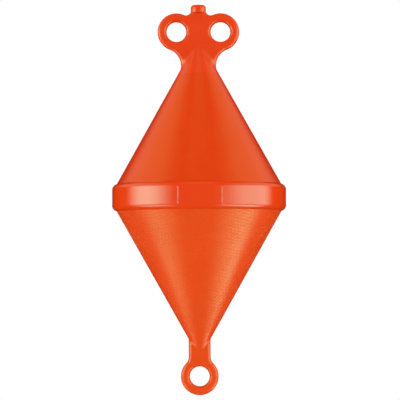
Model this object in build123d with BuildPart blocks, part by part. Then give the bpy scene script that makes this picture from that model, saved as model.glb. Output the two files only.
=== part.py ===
from build123d import *
import os
from math import asin, cos, radians, sin, sqrt, tan

# Biconical mooring buoy. Two hollow cones stand rim to rim inside a round-edged belt. A solid head with
# two eyes closes the top, a solid foot with one eye closes the bottom, and a plug closes the filler bore.
# Millimetres, +Z up. The origin is on the axis at the middle of the belt. X runs across the two head
# eyes, and all three eyes open along Y. The front of the belt faces -Y.

# Belt
belt_diameter = 180.0
belt_height = 28.6
belt_edge_radius = 6.2
belt_stand_out = 4.9

# Raised rules at both ends of the bare panel on the front of the belt
rule_spacing = 44.2
rule_width = 2.0
rule_height = 18.6
rule_rise = 0.8
rule_end_radius = 0.6

# Cone shells
cone_half_angle = 29.25
shell_wall = 2.6
rim_lip = 2.0
rim_lip_height = 3.0
tongue_length = 8.0
tongue_wall = 2.6

# Eyes and lugs
eye_outer_diameter = 38.92
eye_hole_diameter = 20.4
lug_thickness = 9.8
lug_edge_radius = 4.0
lug_rounding_share = 0.45

# Head, with its eyes measured from where its neck leaves the cone
eye_spacing = 45.68
head_neck_width = 36.34
head_neck_length = 38.1
head_flare_radius = 17.7
head_root_radius = 9.0
head_joint_step = 3.0

# Nub on the head, standing up past the tops of the eyes
nub_diameter = 15.7
nub_rise = 5.14
nub_straight = 4.1
nub_root_angle = 65.0
nub_fillet_radius = 5.2
filler_bore_diameter = 6.0

# Plug in the nub
plug_edge_height = 0.3
plug_edge_radius = 3.2
plug_shank_length = 14.0
plug_shank_chamfer = 0.8

# Foot, with its eye measured from where its neck leaves the cone
foot_neck_width = 22.6
foot_neck_length = 38.5
foot_flare_radius = 9.0
foot_root_radius = 5.0
foot_joint_step = 4.0

# Joints between the pieces
spigot_length = 10.0
spigot_chamfer = 1.0
fit_clearance = 0.1

# Places that follow from the sizes above
belt_radius = belt_diameter / 2
belt_half = belt_height / 2
rim_radius = belt_radius - belt_stand_out
slope = tan(radians(cone_half_angle))
wall_across = shell_wall / cos(radians(cone_half_angle))
rim_bore = rim_radius - wall_across
lip_radius = rim_radius + rim_lip
tongue_radius = rim_bore - fit_clearance
tongue_bore = tongue_radius - tongue_wall

# A lug's rounding leaves a flat between its edges, round the eyes and across the thickness
eye_wall = (eye_outer_diameter - eye_hole_diameter) / 2
lug_rounding = min(lug_edge_radius, lug_rounding_share * min(eye_wall, lug_thickness))


def cone_height(radius):
    """Height over the belt's middle at which a cone's outside has this radius."""
    return belt_half + (rim_radius - radius) / slope


head_joint_radius = head_neck_width / 2 + head_joint_step
head_joint_z = cone_height(head_joint_radius)
head_eye_z = cone_height(head_neck_width / 2) + head_neck_length
nub_top_z = head_eye_z + eye_outer_diameter / 2 + nub_rise
foot_joint_radius = foot_neck_width / 2 + foot_joint_step
foot_joint_z = -cone_height(foot_joint_radius)
foot_eye_z = -cone_height(foot_neck_width / 2) - foot_neck_length

# Both cones end inside the lugs, a little narrower than these are thick
tip_radius = lug_thickness / 2 - lug_rounding / 2
tip_z = cone_height(tip_radius)

# The nub's flat web, with its rounded edges, stays inside the round nub
nub_radius = nub_diameter / 2
lug_half_flat = lug_thickness / 2 - lug_rounding
web_half_flat = sqrt((nub_radius - lug_rounding) ** 2 - lug_half_flat**2)
web_half_width = web_half_flat + lug_rounding - fit_clearance

# Lugs are drawn on their back face and made towards the front
lug_plane = Plane.XZ.offset(-lug_thickness / 2)


def long_edges(lug):
    """Edges of a lug's two flat faces, without its straight ends."""
    return lug.faces().filter_by(Axis.Y).edges().filter_by(Axis.X, reverse=True)


def off_mirror(edges):
    """The edges of a +X half that don't lie in its mirror plane."""
    return edges.filter_by(lambda edge: edge.center().X > fit_clearance)


def tip_profile(joint_radius, joint_z, end_z):
    """Half section of a solid cone tip with the spigot that fits into the shell's end."""
    away = 1 if end_z > joint_z else -1
    spigot_radius = joint_radius - wall_across - fit_clearance
    spigot_end = joint_z - away * spigot_length
    Polyline(
        (0, spigot_end),
        (spigot_radius - spigot_chamfer, spigot_end),
        (spigot_radius, spigot_end + away * spigot_chamfer),
        (spigot_radius, joint_z),
        (joint_radius, joint_z),
        (tip_radius, end_z),
        (0, end_z),
        close=True,
    )


# Head: lug with two eyes, blended into the tip of the upper cone, made as its +X half and mirrored
with BuildPart() as head:
    lug_bottom_z = head_joint_z + lug_rounding / 2
    eye_place = (eye_spacing / 2, head_eye_z)
    from_mirror = (Align.MIN, Align.MIN)
    with BuildSketch(lug_plane) as head_outline:
        with Locations(eye_place):
            Circle(eye_outer_diameter / 2)
        with Locations((0, lug_bottom_z)):
            Rectangle(head_neck_width / 2, head_eye_z - lug_bottom_z, align=from_mirror)
        with Locations((0, head_eye_z)):
            Rectangle(web_half_width, nub_top_z - head_eye_z, align=from_mirror)
        split(bisect_by=Plane.YZ)
        fillet(head_outline.vertices().group_by(Axis.Y)[1], head_flare_radius)
        fillet(head_outline.vertices().group_by(Axis.Y)[-2], nub_fillet_radius)
        with Locations(eye_place):
            Circle(eye_hole_diameter / 2, mode=Mode.SUBTRACT)
    extrude(amount=lug_thickness)
    fillet(off_mirror(long_edges(head)), lug_rounding)
    with BuildSketch(Plane.YZ):
        with BuildLine():
            tip_profile(head_joint_radius, head_joint_z, tip_z)
        make_face()
    revolve(axis=Axis.Z, revolution_arc=-180)
    fillet(off_mirror(head.edges(Select.NEW)), head_root_radius)
    mirror(about=Plane.YZ)
    # Round nub with a conical root that grows out of the lug's faces
    nub_root_radius = lug_thickness / 2 - fit_clearance
    nub_root_top = nub_top_z - nub_straight
    nub_root_bottom = nub_root_top - (nub_radius - nub_root_radius) / tan(radians(nub_root_angle))
    with BuildSketch(Plane.XZ):
        with BuildLine():
            Polyline(
                (0, nub_root_bottom),
                (nub_root_radius, nub_root_bottom),
                (nub_radius, nub_root_top),
                (nub_radius, nub_top_z),
                (0, nub_top_z),
                close=True,
            )
        make_face()
    revolve(axis=Axis.Z)
    with Locations((0, 0, nub_top_z)):
        Hole(filler_bore_diameter / 2)
head.part.label = "head"

# Filler plug: round-edged head on the nub's rim, shank in its bore
with BuildPart() as filler_plug:
    plug_edge_z = nub_top_z + plug_edge_height
    plug_top_z = plug_edge_z + plug_edge_radius
    plug_flat_radius = nub_radius - plug_edge_radius
    shank_radius = filler_bore_diameter / 2 - fit_clearance
    shank_end_z = nub_top_z - plug_shank_length
    with BuildSketch(Plane.XZ):
        with BuildLine():
            Polyline(
                (plug_flat_radius, plug_top_z),
                (0, plug_top_z),
                (0, shank_end_z),
                (shank_radius - plug_shank_chamfer, shank_end_z),
                (shank_radius, shank_end_z + plug_shank_chamfer),
                (shank_radius, nub_top_z),
                (nub_radius, nub_top_z),
                (nub_radius, plug_edge_z),
            )
            RadiusArc((nub_radius, plug_edge_z), (plug_flat_radius, plug_top_z), -plug_edge_radius)
        make_face()
    revolve(axis=Axis.Z)
filler_plug.part.label = "filler_plug"

# Upper cone: hollow shell from the lipped rim to the head
with BuildPart() as upper_cone:
    with BuildSketch(Plane.XZ):
        with BuildLine():
            Polyline(
                (rim_bore, 0),
                (lip_radius, 0),
                (lip_radius, rim_lip_height),
                (rim_radius, rim_lip_height),
                (rim_radius, belt_half),
                (head_joint_radius, head_joint_z),
                (head_joint_radius - wall_across, head_joint_z),
                (rim_bore, belt_half),
                close=True,
            )
        make_face()
    revolve(axis=Axis.Z)
upper_cone.part.label = "upper_cone"

# Lower cone: hollow shell whose tongue centres the upper cone's rim
with BuildPart() as lower_cone:
    with BuildSketch(Plane.XZ):
        with BuildLine():
            Polyline(
                (tongue_radius, 0),
                (lip_radius, 0),
                (lip_radius, -rim_lip_height),
                (rim_radius, -rim_lip_height),
                (rim_radius, -belt_half),
                (foot_joint_radius, foot_joint_z),
                (foot_joint_radius - wall_across, foot_joint_z),
                (rim_bore, -belt_half),
                (rim_bore, -tongue_length),
                (tongue_bore, -tongue_length),
                (tongue_bore, tongue_length),
                (tongue_radius, tongue_length),
                close=True,
            )
        make_face()
    revolve(axis=Axis.Z)
lower_cone.part.label = "lower_cone"

# Belt: ring with a groove for both rim lips, and two raised rules on its front
with BuildPart() as belt:
    belt_bore = rim_radius + fit_clearance
    groove_radius = lip_radius + fit_clearance
    groove_height = 2 * (rim_lip_height + fit_clearance)
    axis_side = (Align.MIN, Align.CENTER)
    with BuildSketch(Plane.XZ) as belt_profile:
        Rectangle(belt_radius, belt_height, align=axis_side)
        fillet(belt_profile.vertices().group_by(Axis.X)[-1], belt_edge_radius)
        Rectangle(belt_bore, belt_height, align=axis_side, mode=Mode.SUBTRACT)
        Rectangle(groove_radius, groove_height, align=axis_side, mode=Mode.SUBTRACT)
    revolve(axis=Axis.Z)
    # Each rule is a round bar, sunk into the belt until it has its width there and its rise
    rule_bar_radius = (rule_width**2 / 4 + rule_rise**2) / (2 * rule_rise)
    rule_bar_place = belt_radius + rule_rise - rule_bar_radius
    rule_angle = asin(rule_spacing / 2 / belt_radius)
    for angle in (-rule_angle, rule_angle):
        outward = Vector(sin(angle), -cos(angle), 0)
        sideways = Vector(-cos(angle), -sin(angle), 0)
        bar_middle = outward * rule_bar_place
        with BuildSketch(Plane(origin=bar_middle, x_dir=outward, z_dir=sideways)) as rule_profile:
            Rectangle(rule_bar_radius, rule_height, align=axis_side)
            fillet(rule_profile.vertices().group_by(Axis.X)[-1], rule_end_radius)
        revolve(axis=Axis(bar_middle, (0, 0, 1)))
belt.part.label = "belt"

# Foot: lug with one eye, blended into the tip of the lower cone
with BuildPart() as foot:
    lug_top_z = foot_joint_z - lug_rounding / 2
    with BuildSketch(lug_plane) as foot_outline:
        with Locations((0, foot_eye_z)):
            Circle(eye_outer_diameter / 2)
        with Locations((0, lug_top_z)):
            Rectangle(foot_neck_width, lug_top_z - foot_eye_z, align=(Align.CENTER, Align.MAX))
        fillet(foot_outline.vertices().group_by(Axis.Y)[-2], foot_flare_radius)
        with Locations((0, foot_eye_z)):
            Circle(eye_hole_diameter / 2, mode=Mode.SUBTRACT)
    extrude(amount=lug_thickness)
    fillet(long_edges(foot), lug_rounding)
    with BuildSketch(Plane.XZ):
        with BuildLine():
            tip_profile(foot_joint_radius, foot_joint_z, -tip_z)
        make_face()
    revolve(axis=Axis.Z)
    fillet(foot.edges(Select.NEW), foot_root_radius)
foot.part.label = "foot"

os.makedirs("parts", exist_ok=True)
export_step(head.part, "parts/head.step")
export_step(filler_plug.part, "parts/filler_plug.step")
export_step(upper_cone.part, "parts/upper_cone.step")
export_step(lower_cone.part, "parts/lower_cone.step")
export_step(belt.part, "parts/belt.step")
export_step(foot.part, "parts/foot.step")
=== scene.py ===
"""A biconical mooring buoy in moulded orange plastic, in a white studio with soft light panels."""

import math

import bpy
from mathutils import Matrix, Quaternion, Vector


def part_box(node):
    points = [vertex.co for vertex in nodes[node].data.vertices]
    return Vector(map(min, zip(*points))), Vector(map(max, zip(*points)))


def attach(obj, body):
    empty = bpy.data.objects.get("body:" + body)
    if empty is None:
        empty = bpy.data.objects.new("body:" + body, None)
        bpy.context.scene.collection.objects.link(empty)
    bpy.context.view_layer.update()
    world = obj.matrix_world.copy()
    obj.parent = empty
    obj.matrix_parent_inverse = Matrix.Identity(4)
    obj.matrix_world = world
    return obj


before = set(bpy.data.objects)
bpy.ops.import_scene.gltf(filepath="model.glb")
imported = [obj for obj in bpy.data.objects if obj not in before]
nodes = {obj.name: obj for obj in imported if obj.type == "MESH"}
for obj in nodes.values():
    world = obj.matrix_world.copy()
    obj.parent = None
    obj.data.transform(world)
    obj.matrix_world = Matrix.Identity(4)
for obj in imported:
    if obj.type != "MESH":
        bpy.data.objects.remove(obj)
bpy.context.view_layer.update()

# Lengths are in metres
MM = 0.001

# The lower cone, from the frame. Its outside runs from its tip to the belt, which hides its rim's lip
cone_low, cone_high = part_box("lower_cone")
belt_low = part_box("belt")[0]
rim_lip = 2 * MM
rim_radius = cone_high.x - rim_lip
rim_z = belt_low.z
tip_z = cone_low.z
cone_half_angle = math.radians(29.25)
rim_slant = rim_radius / math.sin(cone_half_angle)
apex_z = rim_z - rim_radius / math.tan(cone_half_angle)

# The lower cone's diamond texture, a flat pattern wrapped on each half of the mould
diamond_width = 7.6 * MM
diamond_height = 3.85 * MM
texture_tip_gap = 3 * MM
texture_seam_gap = 0.9 * MM
texture_belt_overlap = 1.2 * MM
# A diamond that the seam cuts below this share of its area is left out
smallest_diamond = 0.3
# Rings of one diamond, from its sunk base to its flat top: inset from the pattern's lines, height
diamond_rings = ((0.45 * MM, -0.05 * MM), (0.62 * MM, 0.11 * MM), (0.75 * MM, 0.14 * MM))
# No ring is smaller than this share of its diamond
smallest_ring = 0.15

# Noises that vary the plastic, each by its scale and detail
cloud_noise = (28, 4)
smear_noise = (90, 3)
peel_noise = (260, 1)
grain_noise = (1600, 2)
# The stretch of a noise over which the colour goes from shade to full, and the roughness from low to high
cloud_span = (0.32, 0.68)
smear_span = (0.3, 0.7)
grain_height = 0.001 * MM
plastic_ior = 1.5

# Tints of the gloss, which adds little red to a plastic whose red is strong already
satin_tint = (0.2, 1.0, 0.26)
fitting_tint = (0.2, 1.0, 0.55)
texture_tint = (0.2, 0.95, 0.45)
belt_tint = (0.2, 1.0, 0.9)
# Each finish: colour, darker shade, roughness from and to, specular level, tint, orange peel's height
# All parts are one orange plastic. These colours are lit and shaded copies of it, set part by part: painted
# shade darkens the upper cone and the grooves between the diamonds, and painted light brightens the diamond
# tops, head, foot and belt
finishes = {
    "moulded_orange": (
        (0.747, 0.036, 0.001), (0.727, 0.033, 0.001), (0.17, 0.22), 0.9, satin_tint, 0.02 * MM,
    ),
    "head_orange": (
        (0.790, 0.041, 0.001), (0.775, 0.038, 0.001), (0.17, 0.22), 0.85, fitting_tint, 0.02 * MM,
    ),
    "foot_orange": (
        (0.785, 0.057, 0.002), (0.770, 0.054, 0.002), (0.17, 0.22), 0.75, fitting_tint, 0.02 * MM,
    ),
    "textured_orange": (
        (0.760, 0.057, 0.002), (0.740, 0.054, 0.002), (0.23, 0.29), 0.55, texture_tint, 0.02 * MM,
    ),
    "diamond_orange": (
        (0.810, 0.060, 0.002), (0.790, 0.056, 0.002), (0.18, 0.22), 0.95, texture_tint, 0.015 * MM,
    ),
    "belt_orange": (
        (0.790, 0.050, 0.002), (0.775, 0.047, 0.002), (0.10, 0.14), 1.0, belt_tint, 0.03 * MM,
    ),
}
node_finishes = {
    "head": "head_orange",
    "filler_plug": "head_orange",
    "upper_cone": "moulded_orange",
    "foot": "foot_orange",
    "lower_cone": "textured_orange",
    "belt": "belt_orange",
}

# Camera, at the photograph's angle, and the width that it takes in at the buoy
frame_width = 414.15 * MM
camera_distance = 3.0
camera_reach = 100
camera_azimuth = math.radians(-0.7)
camera_elevation = math.radians(-2.0)
camera_roll = math.radians(-0.23)
camera_aim = Vector((0.97 * MM, 0, -2.33 * MM))
sensor_width_in_mm = 36.0

# Studio, round the buoy's middle
white = (1, 1, 1)
floor_z = -1.15
floor_radius = 0.45
floor_segments = 96
floor_paint = (0.85, 0.85, 0.85)
floor_white = 0.8
# The even light that the room gives every surface, and how much more comes from the sides
fill_level = 1.0
fill_side_gain = 0.55
# What gloss sees of the room: near darkness, with a white backdrop straight behind the buoy
room_dark = (0.02, 0.02, 0.02)
backdrop_direction = (0, 1, 0)
backdrop_half_angle = math.radians(6)

# Light panels that only gloss sees
softbox_distance = 1.2
softbox_steps = 48
softbox_colour = (0.85, 0.96, 0.78)
# Each glow, in degrees: the angles round the buoy from its front at which it starts, is full, falls off
# and ends, then pairs of an angle above the horizon and the strength there
left_glow = ((28, 67, 76, 111), (
    (-72, 0), (-58, 0.35), (-50, 1.2), (-43, 2.6), (-36, 2.6), (-28, 1.5), (-14, 1.5),
    (-7, 4.2), (12, 4.2), (20, 2.2), (26, 2.2), (32, 0),
))
right_glow = ((16, 66, 89, 112), (
    (-72, 0), (-58, 0.5), (-50, 1.65), (-43, 3.8), (-36, 3.6), (-28, 1.5), (-14, 1.5),
    (-7, 2.9), (12, 2.9), (20, 1.8), (26, 1.8), (32, 0),
))
high_glow = ((30, 80, 120, 155), ((10, 0), (24, 0.62), (50, 0.62), (62, 0)))
top_glow = ((-50, -20, 20, 50), ((58, 0), (68, 0.4), (80, 0.4)))
# Each panel: the side to which its angles go, -1 for left and 1 for right, and its glows
softboxes = {
    "softbox_left": (-1, (left_glow, high_glow)),
    "softbox_right": (1, (right_glow, high_glow)),
    "softbox_top": (1, (top_glow,)),
}


def node_tree(owner):
    """The emptied node tree of a material or a world."""
    owner.use_nodes = True
    owner.node_tree.nodes.clear()
    return owner.node_tree


def math_node(tree, operation, *values):
    """The result of a math node, whose values are numbers or the outputs of other nodes."""
    node = tree.nodes.new("ShaderNodeMath")
    node.operation = operation
    for socket, value in zip(node.inputs, values):
        if isinstance(value, bpy.types.NodeSocket):
            tree.links.new(value, socket)
        else:
            socket.default_value = value
    return node.outputs["Value"]


def noise(tree, place, scale, detail):
    """A noise over a piece's own coordinates."""
    texture = tree.nodes.new("ShaderNodeTexNoise")
    texture.inputs["Scale"].default_value = scale
    texture.inputs["Detail"].default_value = detail
    tree.links.new(place, texture.inputs["Vector"])
    return texture.outputs["Fac"]


def bump(tree, height, distance):
    """A bump that rises by distance where height is 1."""
    node = tree.nodes.new("ShaderNodeBump")
    node.inputs["Distance"].default_value = distance
    tree.links.new(height, node.inputs["Height"])
    return node


def mixed(tree, share, first, second):
    """Two shaders mixed, with this share of the second."""
    mix = tree.nodes.new("ShaderNodeMixShader")
    tree.links.new(share, mix.inputs["Fac"])
    tree.links.new(first, mix.inputs[1])
    tree.links.new(second, mix.inputs[2])
    return mix.outputs["Shader"]


def moulded_plastic(name, colour, shade, roughness, specular, tint, peel_height):
    """Moulded plastic: a slightly uneven colour and gloss, a soft orange peel and a fine grain."""
    material = bpy.data.materials.new(name)
    tree = node_tree(material)
    place = tree.nodes.new("ShaderNodeTexCoord").outputs["Object"]
    plastic = tree.nodes.new("ShaderNodeBsdfPrincipled")
    plastic.inputs["IOR"].default_value = plastic_ior
    plastic.inputs["Specular IOR Level"].default_value = specular
    plastic.inputs["Specular Tint"].default_value = (*tint, 1)

    pigment = tree.nodes.new("ShaderNodeValToRGB")
    for stop, position, paint in zip(pigment.color_ramp.elements, cloud_span, (shade, colour)):
        stop.position = position
        stop.color = (*paint, 1)
    tree.links.new(noise(tree, place, *cloud_noise), pigment.inputs["Fac"])
    tree.links.new(pigment.outputs["Color"], plastic.inputs["Base Color"])

    gloss = tree.nodes.new("ShaderNodeMapRange")
    for socket, value in zip(("From Min", "From Max", "To Min", "To Max"), (*smear_span, *roughness)):
        gloss.inputs[socket].default_value = value
    tree.links.new(noise(tree, place, *smear_noise), gloss.inputs["Value"])
    tree.links.new(gloss.outputs["Result"], plastic.inputs["Roughness"])

    peel = bump(tree, noise(tree, place, *peel_noise), peel_height)
    grain = bump(tree, noise(tree, place, *grain_noise), grain_height)
    tree.links.new(peel.outputs["Normal"], grain.inputs["Normal"])
    tree.links.new(grain.outputs["Normal"], plastic.inputs["Normal"])

    output = tree.nodes.new("ShaderNodeOutputMaterial")
    tree.links.new(plastic.outputs["BSDF"], output.inputs["Surface"])
    return material


def mesh_object(name, points, faces, material):
    """A mesh of one material, in the scene."""
    mesh = bpy.data.meshes.new(name)
    mesh.from_pydata(points, [], faces)
    mesh.materials.append(material)
    mesh.update()
    thing = bpy.data.objects.new(name, mesh)
    bpy.context.scene.collection.objects.link(thing)
    return thing


def clip(polygon, normal, limit):
    """The part of a convex polygon where its points times normal stay under limit."""
    kept = []
    for i, point in enumerate(polygon):
        before = polygon[i - 1]
        depth = point.dot(normal) - limit
        depth_before = before.dot(normal) - limit
        if (depth > 0) != (depth_before > 0):
            kept.append(before.lerp(point, depth_before / (depth_before - depth)))
        if depth <= 0:
            kept.append(point)
    return kept


def polygon_area(polygon):
    """The area of a flat polygon."""
    return abs(sum(polygon[i - 1].cross(point) for i, point in enumerate(polygon))) / 2


def inner_radius(polygon, centre):
    """The shortest way from a convex polygon's centre to one of its sides."""
    sides = [(polygon[i - 1], point) for i, point in enumerate(polygon)]
    return min(abs((b - a).cross(centre - a)) / (b - a).length for a, b in sides)


def diamonds():
    """The diamonds of one half of the mould, as polygons on the unrolled cone, whose apex is the origin."""
    half_width = diamond_width / 2
    half_height = diamond_height / 2
    corners = [Vector(c) for c in ((half_width, 0), (0, half_height), (-half_width, 0), (0, -half_height))]
    whole_area = polygon_area(corners)
    seam = math.pi / 2 * math.sin(cone_half_angle)
    seams = [Vector((side * math.cos(seam), -math.sin(seam))) for side in (-1, 1)]
    near = (tip_z - apex_z) / math.cos(cone_half_angle) + texture_tip_gap
    far = rim_slant + texture_belt_overlap
    columns = int(far / half_width) + 1
    rows = int(far / half_height) + 1
    for row in range(rows):
        for column in range(-columns, columns + 1):
            centre = Vector((column * half_width, row * half_height))
            if (row + column) % 2 or not near < centre.length < far:
                continue
            polygon = [centre + corner for corner in corners]
            for normal in seams:
                polygon = clip(polygon, normal, -texture_seam_gap)
            if len(polygon) > 2 and polygon_area(polygon) > smallest_diamond * whole_area:
                yield polygon


def on_cone(flat, height, half_turn):
    """The point of the lower cone that a point of its unrolled surface comes to, raised by height."""
    turn = math.atan2(flat.x, flat.y) / math.sin(cone_half_angle) + half_turn
    radius = flat.length * math.sin(cone_half_angle) + height * math.cos(cone_half_angle)
    z = apex_z + flat.length * math.cos(cone_half_angle) - height * math.sin(cone_half_angle)
    return radius * math.sin(turn), -radius * math.cos(turn), z


def diamond_texture(material):
    """Raised diamonds on the lower cone, each a closed block, in grooves that narrow towards the tip."""
    points, faces = [], []
    for half_turn in (0, math.pi):
        for polygon in diamonds():
            centre = sum(polygon, Vector((0, 0))) / len(polygon)
            room = inner_radius(polygon, centre)
            narrowing = centre.length / rim_slant
            sides = len(polygon)
            start = len(points)
            for inset, height in diamond_rings:
                share = max(1 - inset * narrowing / room, smallest_ring)
                points += [on_cone(centre.lerp(corner, share), height, half_turn) for corner in polygon]
            faces.append([start + i for i in reversed(range(sides))])
            for ring in range(len(diamond_rings) - 1):
                low = start + ring * sides
                high = low + sides
                for i in range(sides):
                    j = (i + 1) % sides
                    faces.append((low + i, low + j, high + j, high + i))
            top = start + (len(diamond_rings) - 1) * sides
            faces.append([top + i for i in range(sides)])
    piece = mesh_object("diamond_texture", points, faces, material)
    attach(piece, "root")


def direction(azimuth, elevation):
    """The way out from the buoy at an angle from its front towards its right and one above the horizon."""
    return Vector((
        math.sin(azimuth) * math.cos(elevation),
        -math.cos(azimuth) * math.cos(elevation),
        math.sin(elevation),
    ))


def studio_camera():
    """A long lens in front of the buoy, a little below its belt."""
    back = direction(camera_azimuth, camera_elevation)
    data = bpy.data.cameras.new("camera")
    data.sensor_width = sensor_width_in_mm
    data.lens = sensor_width_in_mm * camera_distance / frame_width
    data.clip_end = camera_reach
    camera = bpy.data.objects.new("camera", data)
    bpy.context.scene.collection.objects.link(camera)
    camera.location = camera_aim + back * camera_distance
    camera.rotation_mode = "QUATERNION"
    roll = Quaternion((0, 0, 1), camera_roll)
    camera.rotation_quaternion = (-back).to_track_quat("-Z", "Y") @ roll
    bpy.context.scene.camera = camera


def smooth_step(value, low, high):
    """0 below low, 1 above high and a smooth rise between."""
    share = min(max((value - low) / (high - low), 0), 1)
    return share * share * (3 - 2 * share)


def between(pairs, value):
    """The level at a value, by straight lines between pairs of value and level, and 0 beyond them."""
    for (low, level_low), (high, level_high) in zip(pairs, pairs[1:]):
        if low <= value <= high:
            return level_low + (level_high - level_low) * (value - low) / (high - low)
    return 0


def panel_glow(angle, elevation, reach, heights):
    """How brightly a panel glows at an angle round the buoy and one above the horizon."""
    start, full, fall, end = reach
    fade = smooth_step(angle, start, full) * (1 - smooth_step(angle, fall, end))
    return fade * between(heights, elevation)


def panel_light(name):
    """Light as strong as the panel's own glow."""
    material = bpy.data.materials.new(name)
    material.cycles.emission_sampling = "NONE"
    tree = node_tree(material)
    glow = tree.nodes.new("ShaderNodeAttribute")
    glow.attribute_name = "glow"
    light = tree.nodes.new("ShaderNodeEmission")
    light.inputs["Color"].default_value = (*softbox_colour, 1)
    output = tree.nodes.new("ShaderNodeOutputMaterial")
    tree.links.new(glow.outputs["Fac"], light.inputs["Strength"])
    tree.links.new(light.outputs["Emission"], output.inputs["Surface"])
    return material


def softbox(name, side, glows):
    """A curved light panel round the buoy, which shows in gloss alone."""
    nearest = min(reach[0] for reach, heights in glows)
    farthest = max(reach[-1] for reach, heights in glows)
    lowest = min(heights[0][0] for reach, heights in glows)
    highest = max(heights[-1][0] for reach, heights in glows)
    points, faces, strengths = [], [], []
    for row in range(softbox_steps + 1):
        elevation = lowest + (highest - lowest) * row / softbox_steps
        for column in range(softbox_steps + 1):
            angle = nearest + (farthest - nearest) * column / softbox_steps
            way = direction(side * math.radians(angle), math.radians(elevation))
            points.append(way * softbox_distance)
            strengths.append(sum(panel_glow(angle, elevation, *glow) for glow in glows))
    for row in range(softbox_steps):
        for column in range(softbox_steps):
            first = row * (softbox_steps + 1) + column
            above = first + softbox_steps + 1
            faces.append((first, first + 1, above + 1, above))
    panel = mesh_object(name, points, faces, panel_light(name))
    panel.data.attributes.new("glow", "FLOAT", "POINT").data.foreach_set("value", strengths)
    panel.visible_camera = False
    panel.visible_diffuse = False
    panel.visible_shadow = False


def floor_finish():
    """Pale paint that the camera, gloss and glass see nearly white, with a soft shadow."""
    material = bpy.data.materials.new("floor")
    tree = node_tree(material)
    path = tree.nodes.new("ShaderNodeLightPath").outputs
    seen = math_node(tree, "MAXIMUM", path["Is Camera Ray"], path["Is Transmission Ray"])
    shown = math_node(tree, "MAXIMUM", seen, path["Is Glossy Ray"])
    whiteness = math_node(tree, "MULTIPLY", shown, floor_white)
    paint = tree.nodes.new("ShaderNodeBsdfDiffuse")
    paint.inputs["Color"].default_value = (*floor_paint, 1)
    light = tree.nodes.new("ShaderNodeEmission")
    output = tree.nodes.new("ShaderNodeOutputMaterial")
    finish = mixed(tree, whiteness, paint.outputs["BSDF"], light.outputs["Emission"])
    tree.links.new(finish, output.inputs["Surface"])
    return material


def studio_floor():
    """A round floor well below the buoy."""
    turns = [2 * math.pi * i / floor_segments for i in range(floor_segments)]
    points = [(floor_radius * math.cos(turn), floor_radius * math.sin(turn), 0) for turn in turns]
    floor = mesh_object("floor", points, [range(floor_segments)], floor_finish())
    floor.location = (0, 0, floor_z)
    floor.visible_glossy = False


def background(tree, colour):
    """A plain background of one colour."""
    node = tree.nodes.new("ShaderNodeBackground")
    node.inputs["Color"].default_value = (*colour, 1)
    return node


def studio_world():
    """Even light on every surface, white for camera and glass, and a backdrop in a dark room for gloss."""
    world = bpy.data.worlds.new("studio")
    world.cycles.sampling_method = "NONE"
    bpy.context.scene.world = world
    tree = node_tree(world)
    path = tree.nodes.new("ShaderNodeLightPath").outputs
    place = tree.nodes.new("ShaderNodeTexCoord").outputs["Generated"]

    across = tree.nodes.new("ShaderNodeSeparateXYZ")
    tree.links.new(place, across.inputs["Vector"])
    sideways = math_node(tree, "MULTIPLY", across.outputs["X"], across.outputs["X"])
    level = math_node(tree, "MULTIPLY_ADD", sideways, fill_side_gain, fill_level)
    fill = background(tree, white)
    tree.links.new(level, fill.inputs["Strength"])
    room = background(tree, room_dark)
    lit = mixed(tree, path["Is Diffuse Ray"], room.outputs["Background"], fill.outputs["Background"])

    behind = tree.nodes.new("ShaderNodeVectorMath")
    behind.operation = "DOT_PRODUCT"
    behind.inputs[1].default_value = backdrop_direction
    tree.links.new(place, behind.inputs[0])
    on_backdrop = math_node(tree, "GREATER_THAN", behind.outputs["Value"], math.cos(backdrop_half_angle))
    reflected = math_node(tree, "MULTIPLY", on_backdrop, path["Is Glossy Ray"])
    seen = math_node(tree, "MAXIMUM", path["Is Camera Ray"], path["Is Transmission Ray"])
    shown = math_node(tree, "MAXIMUM", seen, reflected)
    backdrop = background(tree, white)

    output = tree.nodes.new("ShaderNodeOutputWorld")
    surface = mixed(tree, shown, lit, backdrop.outputs["Background"])
    tree.links.new(surface, output.inputs["Surface"])


bpy.context.scene.view_settings.view_transform = "Standard"

materials = {name: moulded_plastic(name, *finish) for name, finish in finishes.items()}
for name, finish in node_finishes.items():
    nodes[name].data.materials.clear()
    nodes[name].data.materials.append(materials[finish])

diamond_texture(materials["diamond_orange"])
studio_camera()
studio_world()
studio_floor()
for name, (side, glows) in softboxes.items():
    softbox(name, side, glows)
